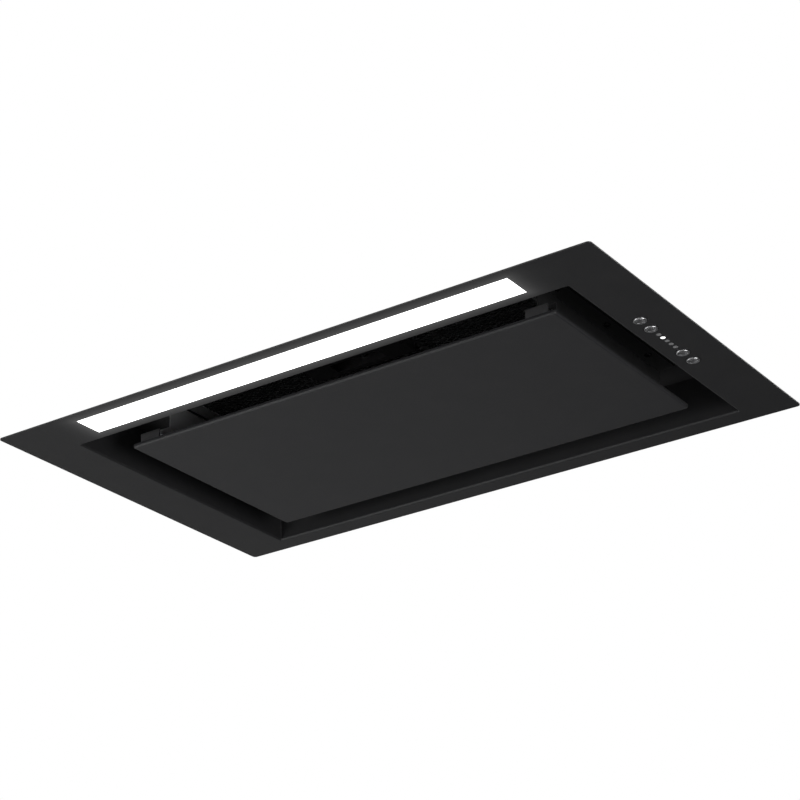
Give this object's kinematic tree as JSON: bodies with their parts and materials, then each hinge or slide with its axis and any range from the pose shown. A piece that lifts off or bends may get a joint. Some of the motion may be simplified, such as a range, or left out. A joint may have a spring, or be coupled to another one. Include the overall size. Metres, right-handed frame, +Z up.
{
  "type": "built-in range hood",
  "caption": "Built-in range hood: black facade with a lit strip, push buttons and a hinged suction panel over a filter, blower and duct collar.",
  "frame": {"origin": "under the centre of the facade, at the level of the push buttons' faces, 0.8 mm below the facade's lower face", "axes": "+X to the push buttons, -Y to the lamp, +Z up into the cabinet"},
  "size_m": [0.526, 0.324, 0.3078],
  "materials": {
    "black_coat": "satin powder coat",
    "diffuser": "opal, lit from behind",
    "zinc_sheet": "zinc-coated sheet",
    "board_white": "solder mask",
    "black_plastic": "moulded, fine texture",
    "board_green": "solder mask",
    "lens": "translucent",
    "button_metal": "satin",
    "bright_steel": "zinc plated",
    "filter_metal": "satin mill finish",
    "cast_metal": "die cast",
    "bush_rubber": "matte",
    "white_plastic": "moulded"
  },
  "bodies": {
    "hood": {"facade_plate": "black_coat", "recess_ceiling": "black_coat", "lamp_diffuser": "diffuser", "lamp_housing": "zinc_sheet", "led_board": "board_white", "control_housing": "black_plastic", "control_lid": "black_plastic", "control_board": "board_green", "tact_switches": "black_plastic", "indicator_lenses": "lens", "stud_nuts": "bright_steel", "hinge_pins": "bright_steel", "bracket_left": "black_coat", "bracket_right": "black_coat", "bracket_screws": "bright_steel", "catch_clips": "bright_steel", "filter_frame": "filter_metal", "filter_cover": "filter_metal", "filter_pack": "filter_metal", "filter_grip": "filter_metal", "latch_spring": "bright_steel", "casing_lower": "zinc_sheet", "casing_upper": "zinc_sheet", "casing_top": "zinc_sheet", "casing_screws": "bright_steel", "side_springs": "bright_steel", "scroll_shell": "black_plastic", "scroll_side_left": "black_plastic", "scroll_side_right": "black_plastic", "motor": "cast_metal", "motor_spider": "zinc_sheet", "motor_bushes": "bush_rubber", "capacitor": "white_plastic", "capacitor_clip": "bright_steel", "outlet_collar": "black_plastic", "flap_rod": "bright_steel", "electronics_box": "white_plastic", "electronics_lid": "white_plastic", "power_board": "board_green", "terminal_block": "white_plastic", "cable_gland": "black_plastic", "lamp_lead": "white_plastic", "control_lead": "white_plastic"},
    "suction_panel": {"panel_skin": "black_coat", "panel_stiffener": "black_coat", "panel_catch_tabs": "black_coat", "panel_hinge_arms": "black_coat"},
    "button_1": {"button_1": "button_metal"},
    "button_2": {"button_2": "button_metal"},
    "button_3": {"button_3": "button_metal"},
    "button_4": {"button_4": "button_metal"},
    "filter_latch": {"filter_latch": "black_plastic"},
    "rotor": {"impeller": "black_plastic", "motor_shaft": "bright_steel"},
    "flap_front": {"flap_front": "black_plastic"},
    "flap_rear": {"flap_rear": "black_plastic"}
  },
  "joints": [
    {"name": "panel_hinge", "type": "hinge", "parent": "hood", "child": "suction_panel", "pos_m": [0, 0.10705, 0.0168], "axis": [1, 0, 0], "range_deg": [0, 88]},
    {"name": "button_1_press", "type": "slide", "parent": "hood", "child": "button_1", "axis": [0, 0, 1], "range_m": [0, 0.0012], "stiffness_N_per_m": 300},
    {"name": "button_2_press", "type": "slide", "parent": "hood", "child": "button_2", "axis": [0, 0, 1], "range_m": [0, 0.0012], "stiffness_N_per_m": 300},
    {"name": "button_3_press", "type": "slide", "parent": "hood", "child": "button_3", "axis": [0, 0, 1], "range_m": [0, 0.0012], "stiffness_N_per_m": 300},
    {"name": "button_4_press", "type": "slide", "parent": "hood", "child": "button_4", "axis": [0, 0, 1], "range_m": [0, 0.0012], "stiffness_N_per_m": 300},
    {"name": "filter_latch_slide", "type": "slide", "parent": "hood", "child": "filter_latch", "axis": [0, 1, 0], "range_m": [0, 0.006], "stiffness_N_per_m": 300, "deforming": ["latch_spring"]},
    {"name": "impeller_spin", "type": "hinge", "parent": "hood", "child": "rotor", "pos_m": [0, -0.01325, 0.1664], "axis": [1, 0, 0], "continuous": true},
    {"name": "flap_rear_swing", "type": "hinge", "parent": "hood", "child": "flap_rear", "pos_m": [0, 0.0606, 0.2798], "axis": [1, 0, 0], "range_deg": [0, 75]},
    {"name": "flap_front_swing", "type": "hinge", "parent": "hood", "child": "flap_front", "pos_m": [0, 0.0606, 0.2798], "axis": [-1, 0, 0], "range_deg": [0, 75]}
  ]
}
